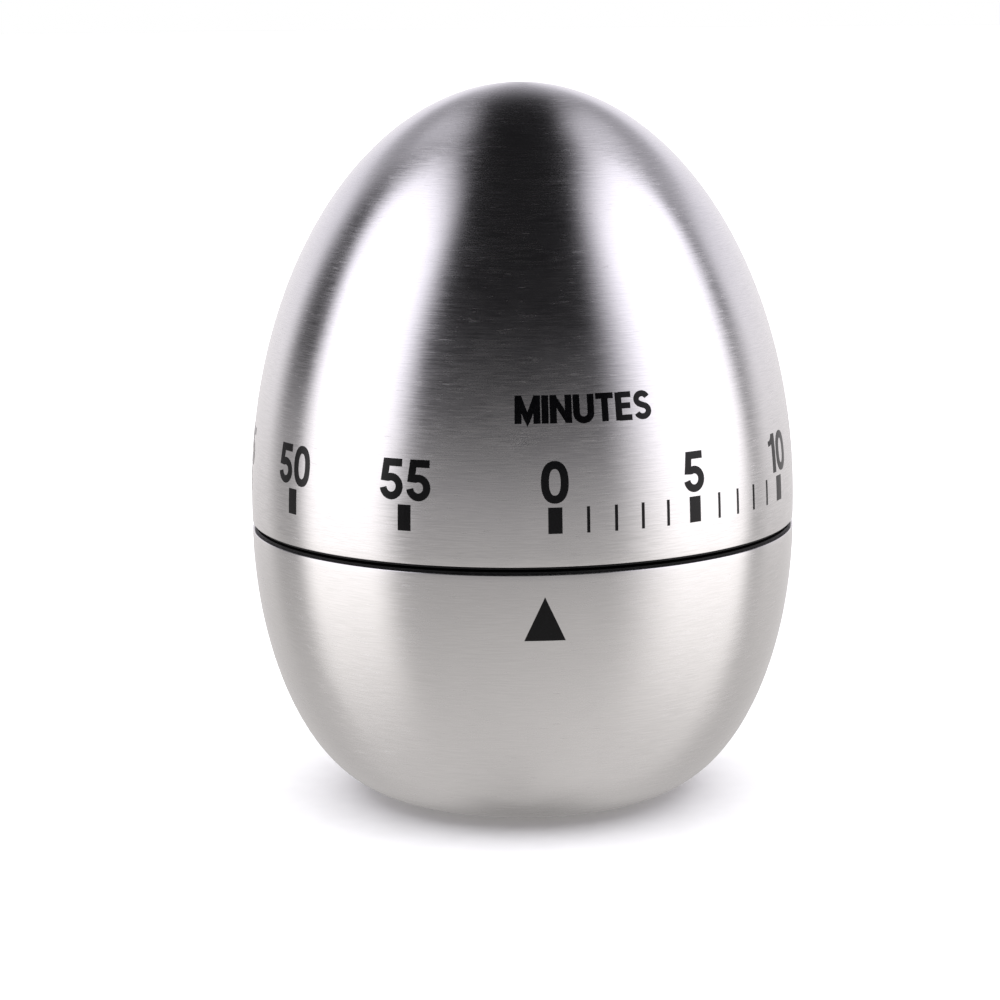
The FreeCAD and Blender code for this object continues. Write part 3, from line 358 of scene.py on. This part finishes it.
# Each figure is its width and its strokes: a line of points in units of the figure's
# height, the stroke's width, and whether the line is closed.
FIGURES = {
    "0": (0.68, [(zero_loop(), 0.195, True)]),
    "1": (0.46, [([(0.36, 0.0), (0.36, 1.0)], STROKE, False),
                 ([(0.05, 0.765), (0.17, 0.78), (0.27, 0.86), (0.31, 0.95)], 0.13, False)]),
    "2": (0.66, [(oval((0.33, 0.70), 0.225, 0.21, 178, -32)
                  + [(0.20, 0.25), (0.13, 0.09), (0.64, 0.09)], 0.19, False)]),
    "3": (0.66, [(oval((0.32, 0.72), 0.205, 0.19, 165, -90) + [(0.24, 0.53)], 0.185, False),
                 ([(0.24, 0.525)] + oval((0.32, 0.31), 0.235, 0.215, 90, -165), 0.19, False)]),
    "4": (0.68, [([(0.49, 0.0), (0.49, 1.0)], STROKE, False),
                 ([(0.46, 0.90), (0.11, 0.32)], BAR, False),
                 ([(0.03, 0.31), (0.67, 0.31)], BAR, False)]),
    "5": (0.65, [([(0.61, 0.905), (0.185, 0.905), (0.14, 0.54)]
                  + oval((0.325, 0.32), 0.222, 0.23, 112, -172), 0.19, False)]),
    "M": (0.86, [([(0.10, 0.0), (0.10, 1.0)], STROKE, False),
                 ([(0.76, 0.0), (0.76, 1.0)], STROKE, False),
                 ([(0.12, 0.94), (0.43, 0.12), (0.74, 0.94)], BAR, False)]),
    "I": (0.20, [([(0.10, 0.0), (0.10, 1.0)], STROKE, False)]),
    "N": (0.74, [([(0.10, 0.0), (0.10, 1.0)], STROKE, False),
                 ([(0.64, 0.0), (0.64, 1.0)], STROKE, False),
                 ([(0.12, 0.92), (0.62, 0.08)], BAR, False)]),
    "U": (0.72, [([(0.10, 1.0)] + oval((0.36, 0.35), 0.26, 0.26, 180, 360) + [(0.62, 1.0)],
                  STROKE, False)]),
    "T": (0.66, [([(0.33, 0.0), (0.33, 1.0)], STROKE, False),
                 ([(0.0, 0.91), (0.66, 0.91)], BAR, False)]),
    "E": (0.60, [([(0.10, 0.0), (0.10, 1.0)], STROKE, False),
                 ([(0.10, 0.91), (0.59, 0.91)], BAR, False),
                 ([(0.10, 0.52), (0.55, 0.52)], BAR, False),
                 ([(0.10, 0.09), (0.60, 0.09)], BAR, False)]),
    "S": (0.66, [(oval((0.33, 0.715), 0.22, 0.195, 20, 250, 16)
                  + oval((0.33, 0.29), 0.235, 0.20, 75, -160, 16), 0.18, False)]),
}


def divided(line, closed):
    """The line with its long pieces divided, so that it can follow a curved surface."""
    ends = line[1:] + line[:1] if closed else line[1:]
    points = []
    for start, end in zip(line, ends):
        pieces = max(1, math.ceil(math.dist(start, end) / LONGEST_PIECE))
        for piece in range(pieces):
            share = piece / pieces
            points.append((start[0] + (end[0] - start[0]) * share,
                           start[1] + (end[1] - start[1]) * share))
    if not closed:
        points.append(line[-1])
    return points


def side_steps(points, closed):
    """At each point, the step to the line's left that keeps a stroke's width at corners."""
    steps = []
    count = len(points)
    for index in range(count):
        before = points[index - 1] if closed or index > 0 else None
        after = points[(index + 1) % count] if closed or index < count - 1 else None
        here = Vector(points[index])
        into = (here - Vector(before)).normalized() if before else None
        out = (Vector(after) - here).normalized() if after else None
        into = into or out
        out = out or into
        along = (into + out).normalized()
        lean = max(SHARPEST_LEAN, along.dot(out))
        steps.append(Vector((-along.y, along.x)) / lean)
    return steps


def print_strip(bm, rows, closed=False):
    """A printed strip: each row holds pairs of points, the ink's top and its underside."""
    made = [[[bm.verts.new(point) for point in pair] for pair in row] for row in rows]
    following = made[1:] + made[:1] if closed else made[1:]
    for first, second in zip(made, following):
        for column in range(len(first) - 1):
            for layer in (0, 1):
                bm.faces.new((first[column][layer], first[column + 1][layer],
                              second[column + 1][layer], second[column][layer]))
        for column in (0, -1):
            bm.faces.new((first[column][0], first[column][1],
                          second[column][1], second[column][0]))
    if not closed:
        for row in (made[0], made[-1]):
            for left, right in zip(row, row[1:]):
                bm.faces.new((left[0], right[0], right[1], left[1]))


def ink_pair(radius_at, azimuth, height):
    """The top and the underside of the ink at one place."""
    lifts = (INK_LIFT, INK_LIFT - INK_DEPTH)
    return [on_surface(radius_at, azimuth, height, lift) for lift in lifts]


def print_stroke(bm, line, width, closed, to_pair):
    """One printed stroke of a figure, laid on a surface."""
    points = divided(line, closed)
    rows = []
    for point, step in zip(points, side_steps(points, closed)):
        spots = [Vector(point) + step * width * side for side in (-0.5, 0.0, 0.5)]
        rows.append([to_pair(spot.x, spot.y) for spot in spots])
    print_strip(bm, rows, closed)


def print_text(bm, text, azimuth, bottom, height, gap=FIGURE_GAP, weight=1.0):
    """Print a line of figures on the dome, centred at an azimuth."""
    total = sum(FIGURES[letter][0] for letter in text) + gap * (len(text) - 1)
    radius = dome_radius(bottom + height / 2)
    slope = (dome_radius(bottom) - dome_radius(bottom + height)) / height
    rise = height / math.hypot(1.0, slope)
    start = -total / 2
    for letter in text:
        width, strokes = FIGURES[letter]

        def to_pair(x, y, start=start):
            turn = math.radians(azimuth) + (start + x) * height / radius
            return ink_pair(dome_radius, turn, bottom + y * rise)

        for line, stroke, closed in strokes:
            print_stroke(bm, line, stroke * weight, closed, to_pair)
        start += width + gap


def minute_azimuth(minute):
    return ZERO_AZIMUTH + minute * MINUTE_STEP


def print_bar(bm, azimuth, width, bottom, top):
    """An upright bar on the dome."""
    half = width / 2 / dome_radius((bottom + top) / 2)
    rows = []
    for step in range(MARK_STEPS + 1):
        height = bottom + (top - bottom) * step / MARK_STEPS
        turns = [math.radians(azimuth) + side * half for side in (-1, 0, 1)]
        rows.append([ink_pair(dome_radius, turn, height) for turn in turns])
    print_strip(bm, rows)


def make_numerals():
    def fill(bm):
        for minute in range(0, DIAL_MINUTES, MARK_SPACING):
            print_text(bm, str(minute), minute_azimuth(minute), NUMERAL_BOTTOM, NUMERAL_HEIGHT)
    return new_piece("dial_numerals", fill, smooth=False)


def make_marks():
    def fill(bm):
        for minute in range(0, DIAL_MINUTES, MARK_SPACING):
            print_bar(bm, minute_azimuth(minute), MARK_WIDTH, MARK_BOTTOM, MARK_TOP)
    return new_piece("dial_marks", fill, smooth=False)


def make_ticks():
    def fill(bm):
        for minute in TICKED_MARKS:
            middle = minute_azimuth(minute) + MARK_SPACING / 2 * MINUTE_STEP
            for place in TICK_PLACES:
                print_bar(bm, middle + place * TICK_SPACING, TICK_WIDTH, MARK_BOTTOM, MARK_TOP)
    return new_piece("dial_ticks", fill, smooth=False)


def make_legend():
    def fill(bm):
        print_text(bm, "MINUTES", LEGEND_AZIMUTH, LEGEND_BOTTOM, LEGEND_HEIGHT,
                   LEGEND_GAP, LEGEND_WEIGHT)
    return new_piece("dial_legend", fill, smooth=False)


def make_pointer():
    """The printed triangle on the bowl, point up."""
    def fill(bm):
        half = POINTER_WIDTH / 2 / bowl_radius(POINTER_BOTTOM)
        rows = []
        for step in range(POINTER_STEPS + 1):
            height = POINTER_BOTTOM + (POINTER_TOP - POINTER_BOTTOM) * step / POINTER_STEPS
            share = max(POINTER_TIP, 1 - step / POINTER_STEPS)
            turns = [half * share * column for column in POINTER_COLUMNS]
            rows.append([ink_pair(bowl_radius, turn, height) for turn in turns])
        print_strip(bm, rows)
    return new_piece("pointer_mark", fill, smooth=False)


# ---- materials -------------------------------------------------------------------------

class Nodes:
    """Short ways to add shader nodes to one tree."""

    def __init__(self, tree):
        self.tree = tree

    def add(self, kind, **settings):
        node = self.tree.nodes.new(kind)
        for name, value in settings.items():
            setattr(node, name, value)
        return node

    def link(self, source, target):
        if isinstance(source, (int, float)):
            target.default_value = source
        else:
            self.tree.links.new(source, target)

    def math(self, operation, first, second=0.0):
        node = self.add("ShaderNodeMath", operation=operation)
        self.link(first, node.inputs[0])
        self.link(second, node.inputs[1])
        return node.outputs[0]

    def sum(self, *terms):
        """Each term is a value, or a value with the share of it to take."""
        total = None
        for term in terms:
            if isinstance(term, tuple):
                term = self.math("MULTIPLY", *term)
            total = term if total is None else self.math("ADD", total, term)
        return total

    def ramp_between(self, value, low, high, to_low=0.0, to_high=1.0, kind="SMOOTHSTEP"):
        """The value taken from the range low..high to the range to_low..to_high."""
        node = self.add("ShaderNodeMapRange", interpolation_type=kind)
        self.link(value, node.inputs["Value"])
        self.link(low, node.inputs["From Min"])
        self.link(high, node.inputs["From Max"])
        node.inputs["To Min"].default_value = to_low
        node.inputs["To Max"].default_value = to_high
        return node.outputs["Result"]

    def curve(self, value, points):
        """A smooth curve through (value, result) points, both scaled to 0..1."""
        node = self.add("ShaderNodeFloatCurve")
        self.link(value, node.inputs["Value"])
        line = node.mapping.curves[0]
        line.points[0].location = points[0]
        line.points[1].location = points[-1]
        for point in points[1:-1]:
            line.points.new(*point)
        node.mapping.update()
        return node.outputs["Value"]

    def combine(self, x, y, z):
        node = self.add("ShaderNodeCombineXYZ")
        for value, socket in zip((x, y, z), node.inputs):
            self.link(value, socket)
        return node.outputs[0]

    def noise(self, vector, scale, detail, roughness=0.5):
        node = self.add("ShaderNodeTexNoise")
        self.link(vector, node.inputs["Vector"])
        node.inputs["Scale"].default_value = scale
        node.inputs["Detail"].default_value = detail
        node.inputs["Roughness"].default_value = roughness
        return node.outputs["Fac"]

    def mix(self, share, first, second):
        """From the first colour to the second. A colour is a socket or red, green, blue."""
        node = self.add("ShaderNodeMix", data_type="RGBA")
        self.link(share, node.inputs["Factor"])
        for value, socket in ((first, node.inputs["A"]), (second, node.inputs["B"])):
            if isinstance(value, tuple):
                socket.default_value = (*value, 1.0)
            else:
                self.link(value, socket)
        return node.outputs["Result"]

    def bump(self, height, strength, distance):
        """The surface's normal, moved by a height."""
        node = self.add("ShaderNodeBump")
        node.inputs["Strength"].default_value = strength
        node.inputs["Distance"].default_value = distance
        self.link(height, node.inputs["Height"])
        return node.outputs[0]


def new_material(name, **sockets):
    """A material with a Principled shader whose sockets have the values given."""
    material = bpy.data.materials.new(name)
    material.use_nodes = True
    shader = material.node_tree.nodes["Principled BSDF"]
    for socket, value in sockets.items():
        shader.inputs[socket.replace("_", " ")].default_value = value
    return material, Nodes(material.node_tree), shader


def brushed_steel(name, rising, depth):
    """Steel brushed round the axis. Rising is -1 on the dome and 1 on the bowl."""
    material, nodes, shader = new_material(
        name, Metallic=1.0, Anisotropic=0.75, Anisotropic_Rotation=0.25)
    place = nodes.add("ShaderNodeTexCoord").outputs["Object"]
    split = nodes.add("ShaderNodeSeparateXYZ")
    nodes.link(place, split.inputs[0])
    x, y, z = split.outputs
    radius = nodes.math("SQRT", nodes.sum((x, x), (y, y)))
    along = nodes.sum(z, (radius, rising))

    def brush(stretch, offset):
        """Coordinates that run out round the axis, so that noise in them draws strokes."""
        moved = [nodes.sum(item, offset) for item in (x, y)]
        sideways = [nodes.math("MULTIPLY", item, stretch) for item in moved]
        return nodes.combine(*sideways, along)

    lines = nodes.noise(brush(0.045, 0.0), scale=9000.0, detail=3.0, roughness=0.6)
    streaks = nodes.noise(brush(0.20, 0.013), scale=1900.0, detail=4.0, roughness=0.65)
    hairs = nodes.noise(brush(0.11, 0.041), scale=4200.0, detail=1.0, roughness=0.4)
    patches = nodes.noise(place, scale=90.0, detail=4.0, roughness=0.6)
    wear = nodes.ramp_between(streaks, 0.60, 0.74)
    scratch = nodes.ramp_between(hairs, 0.72, 0.80)

    line_roughness = nodes.ramp_between(lines, 0.25, 0.75, 0.17, 0.28, "LINEAR")
    patch_roughness = nodes.ramp_between(patches, 0.3, 0.7, -0.03, 0.045, "LINEAR")
    roughness = nodes.sum(line_roughness, (wear, 0.08), patch_roughness, (scratch, 0.12))
    nodes.link(roughness, shader.inputs["Roughness"])

    shade = nodes.ramp_between(lines, 0.3, 0.7, 0.5 - depth / 2, 0.5 + depth / 2)
    tone = nodes.mix(shade, STEEL_DARK, STEEL_LIGHT)
    tone = nodes.mix(nodes.math("MULTIPLY", wear, 0.35), tone, STEEL_WORN)
    nodes.link(tone, shader.inputs["Base Color"])

    tangent = nodes.add("ShaderNodeTangent", direction_type="RADIAL", axis="Z")
    nodes.link(tangent.outputs[0], shader.inputs["Tangent"])
    relief = nodes.sum(lines, (streaks, 0.8), (scratch, -0.8))
    nodes.link(nodes.bump(relief, 0.2 * depth, BRUSH_RELIEF), shader.inputs["Normal"])
    return material


def speckled(name, dark, light, roughness, scale, metallic=0.0, relief=0.01 * MM, **sockets):
    """A plain material with small mottling of tone, roughness and surface."""
    material, nodes, shader = new_material(name, Metallic=metallic, **sockets)
    place = nodes.add("ShaderNodeTexCoord").outputs["Object"]
    grain = nodes.noise(place, scale, detail=4.0, roughness=0.6)
    cloud = nodes.noise(place, scale / 12, detail=2.0)
    mottling = nodes.sum((grain, 0.6), (cloud, 0.4))
    tone = nodes.mix(nodes.ramp_between(mottling, 0.35, 0.65), dark, light)
    nodes.link(tone, shader.inputs["Base Color"])
    spread = nodes.ramp_between(mottling, 0.3, 0.7, *roughness, "LINEAR")
    nodes.link(spread, shader.inputs["Roughness"])
    nodes.link(nodes.bump(grain, 0.3, relief), shader.inputs["Normal"])
    return material


def dress(piece, material):
    piece.data.materials.clear()
    piece.data.materials.append(material)


# ---- stage, light and camera -----------------------------------------------------------

def make_floor():
    """A pale round floor, seen by the camera but not mirrored in the steel."""
    def fill(bm):
        bmesh.ops.create_circle(bm, cap_ends=True, segments=PAPER_SEGMENTS, radius=PAPER_RADIUS)
    floor = new_piece("floor", fill, smooth=False)
    material, nodes, shader = new_material("floor_paper", Roughness=PAPER_ROUGHNESS)
    place = nodes.add("ShaderNodeTexCoord").outputs["Object"]
    grain = nodes.noise(place, scale=300.0, detail=3.0)
    tone = nodes.mix(nodes.ramp_between(grain, 0.3, 0.7), PAPER_DARK, PAPER_LIGHT)
    nodes.link(tone, shader.inputs["Base Color"])
    dress(floor, material)
    floor.visible_glossy = False
    floor.location.z = -PAPER_GAP


class Studio:
    """The light from each direction of the studio, worked out in the world's shader."""

    def __init__(self, tree):
        self.nodes = Nodes(tree)
        split = self.nodes.add("ShaderNodeSeparateXYZ")
        self.nodes.link(self.nodes.add("ShaderNodeTexCoord").outputs["Generated"], split.inputs[0])
        x, y, z = split.outputs
        around = self.nodes.math("ARCTAN2", x, self.nodes.math("MULTIPLY", y, -1.0))
        turned = self.nodes.math("SUBTRACT", around, math.radians(CAMERA_AZIMUTH))
        self.azimuth = self.nodes.math("DEGREES", turned)
        self.elevation = self.nodes.math("DEGREES", self.nodes.math("ARCSINE", z))
        across = self.nodes.math("SINE", self.nodes.math("RADIANS", self.azimuth))
        level = self.nodes.math("COSINE", self.nodes.math("RADIANS", self.elevation))
        self.sideways = self.nodes.math("ABSOLUTE", self.both(across, level))

    def rise(self, value, low, high):
        return self.nodes.ramp_between(value, low, high)

    def fall(self, value, low, high):
        return self.nodes.ramp_between(value, low, high, 1.0, 0.0)

    def both(self, first, second):
        return self.nodes.math("MULTIPLY", first, second)

    def blend(self, share, first, second):
        """From the first brightness to the second."""
        gap = self.nodes.math("SUBTRACT", second, first)
        return self.nodes.math("ADD", first, self.both(share, gap))

    def by_elevation(self, points):
        """A brightness that follows the elevation through (degrees, brightness) points."""
        level = self.nodes.ramp_between(self.elevation, -90.0, 90.0, kind="LINEAR")
        scaled = [((degrees + 90.0) / 180.0, value) for degrees, value in points]
        return self.nodes.curve(level, scaled)

    def edge(self, value, lower, higher, share):
        """A soft edge whose start and end move from the lower pair to the higher by a share."""
        ends = [self.blend(share, low, high) for low, high in zip(lower, higher)]
        return self.rise(value, *ends)

    def side_box(self, side, inner, outer):
        """A tall soft box on one side, between an inner and an outer edge."""
        turn = self.nodes.math("MULTIPLY", self.azimuth, side)
        near = self.edge(turn, *inner, self.rise(self.elevation, *INNER_EDGE_LEAN))
        far = self.edge(turn, *outer, self.rise(self.elevation, *OUTER_EDGE_LEAN))
        return self.both(near, self.nodes.math("SUBTRACT", 1.0, far))

    def shade(self):
        """How much of the object's shade on the floor behind it shows in a direction."""
        shade = self.both(self.fall(self.sideways, *SHADED_SIDEWAYS),
                          self.rise(self.elevation, *SHADED_FROM))
        return self.both(shade, self.fall(self.elevation, *SHADED_TO))

    def boxes(self):
        """How much of the two light boxes shows in a direction."""
        boxes = self.nodes.math("MAXIMUM", self.side_box(-1.0, *LEFT_BOX),
                                self.side_box(1.0, *RIGHT_BOX))
        boxes = self.both(boxes, self.rise(self.elevation, *BOX_FOOT))
        return self.both(boxes, self.fall(self.elevation, *BOX_HEAD))

    def ceiling(self, behind):
        """How much of the dark ceiling shows in a direction."""
        strip = self.nodes.math("SUBTRACT", 1.0, self.edge(self.sideways, *CEILING_EDGE, behind))
        return self.both(strip, self.rise(self.elevation, *CEILING_RISE))

    def brightness(self):
        behind = self.nodes.sum(self.fall(self.azimuth, *BEHIND_ON_LEFT),
                                self.rise(self.azimuth, *BEHIND_ON_RIGHT))
        gain = self.nodes.ramp_between(self.azimuth, *RIGHT_GAIN_RISE, 1.0, RIGHT_GAIN)
        front = self.both(gain, self.by_elevation(FRONT_LIGHT))
        back = self.blend(self.shade(), self.by_elevation(BACK_LIGHT), SHADED_FLOOR)
        light = self.blend(behind, front, back)
        light = self.blend(self.boxes(), light, BOX_LIGHT)
        return self.blend(self.ceiling(behind), light, DARK_CEILING)


def make_world():
    """The studio round the object, and the white backdrop that only the camera sees."""
    world = bpy.data.worlds.new("studio")
    bpy.context.scene.world = world
    world.use_nodes = True
    studio = Studio(world.node_tree)
    nodes = studio.nodes
    tint = nodes.mix(studio.rise(studio.elevation, *TINT_RISE), LOW_TINT, HIGH_TINT)
    background = world.node_tree.nodes["Background"]
    scaled = nodes.add("ShaderNodeVectorMath", operation="SCALE")
    nodes.link(tint, scaled.inputs[0])
    strength = nodes.math("MULTIPLY", studio.brightness(), STUDIO_GAIN)
    nodes.link(strength, scaled.inputs["Scale"])
    nodes.link(scaled.outputs[0], background.inputs["Color"])
    white = nodes.add("ShaderNodeBackground")
    white.inputs["Color"].default_value = BACKDROP
    chooser = nodes.add("ShaderNodeMixShader")
    nodes.link(nodes.add("ShaderNodeLightPath").outputs["Is Camera Ray"], chooser.inputs[0])
    nodes.link(background.outputs[0], chooser.inputs[1])
    nodes.link(white.outputs[0], chooser.inputs[2])
    nodes.link(chooser.outputs[0], world.node_tree.nodes["World Output"].inputs[0])


def make_floor_light():
    """Broad soft light from above for the floor, not mirrored in the steel."""
    lamp = bpy.data.lights.new("overhead", "SUN")
    lamp.angle = math.radians(FLOOR_LIGHT_SPREAD)
    lamp.energy = FLOOR_LIGHT
    light = bpy.data.objects.new("overhead", lamp)
    light.location = (0.0, 0.0, 1.0)
    light.visible_glossy = False
    bpy.context.scene.collection.objects.link(light)


def make_camera():
    azimuth, elevation = math.radians(CAMERA_AZIMUTH), math.radians(CAMERA_ELEVATION)
    offset = Vector((math.sin(azimuth) * math.cos(elevation),
                     -math.cos(azimuth) * math.cos(elevation),
                     math.sin(elevation)))
    data = bpy.data.cameras.new("camera")
    data.lens = CAMERA_LENS
    data.sensor_width = CAMERA_SENSOR
    data.shift_x, data.shift_y = CAMERA_SHIFT
    data.clip_start = CAMERA_NEAREST
    camera = bpy.data.objects.new("camera", data)
    turn = (-offset).to_track_quat("-Z", "Y").to_matrix().to_4x4()
    roll = Matrix.Rotation(math.radians(CAMERA_ROLL), 4, "Z")
    camera.matrix_world = Matrix.Translation(CAMERA_TARGET + offset * CAMERA_DISTANCE) @ turn @ roll
    bpy.context.scene.collection.objects.link(camera)
    bpy.context.scene.camera = camera


# ---- put together ----------------------------------------------------------------------

def dress_cad_nodes():
    """Give each CAD node that still shows the material of its slot."""
    materials = {slot: speckled(slot, **look) for slot, look in SLOT_LOOKS.items()}
    for part in frame["record"]["subparts"]:
        if part["material_slot"] in materials:
            dress(frame["nodes"][part["node"]], materials[part["material_slot"]])


def make_shells():
    """The two steel shells, in the place of the frame's plain ones."""
    dial_shell, base_shell = make_dial_shell(), make_base_shell()
    dress(dial_shell, brushed_steel("dome_steel", -1.0, DOME_BRUSHING))
    dress(base_shell, brushed_steel("bowl_steel", 1.0, BOWL_BRUSHING))
    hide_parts("upper_shell")
    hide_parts("lower_shell")
    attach(dial_shell, "dial")
    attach(base_shell, "base")


def make_printing():
    """The black printing on the dome and on the bowl."""
    ink = speckled("printing_ink", **INK_LOOK)
    for maker, body in ((make_numerals, "dial"), (make_marks, "dial"), (make_ticks, "dial"),
                        (make_legend, "dial"), (make_pointer, "base")):
        piece = maker()
        dress(piece, ink)
        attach(piece, body)


def main():
    make_camera()
    make_world()
    make_floor()
    make_floor_light()
    bpy.context.scene.view_settings.view_transform = "Standard"
    dress_cad_nodes()
    make_shells()
    make_printing()


main()
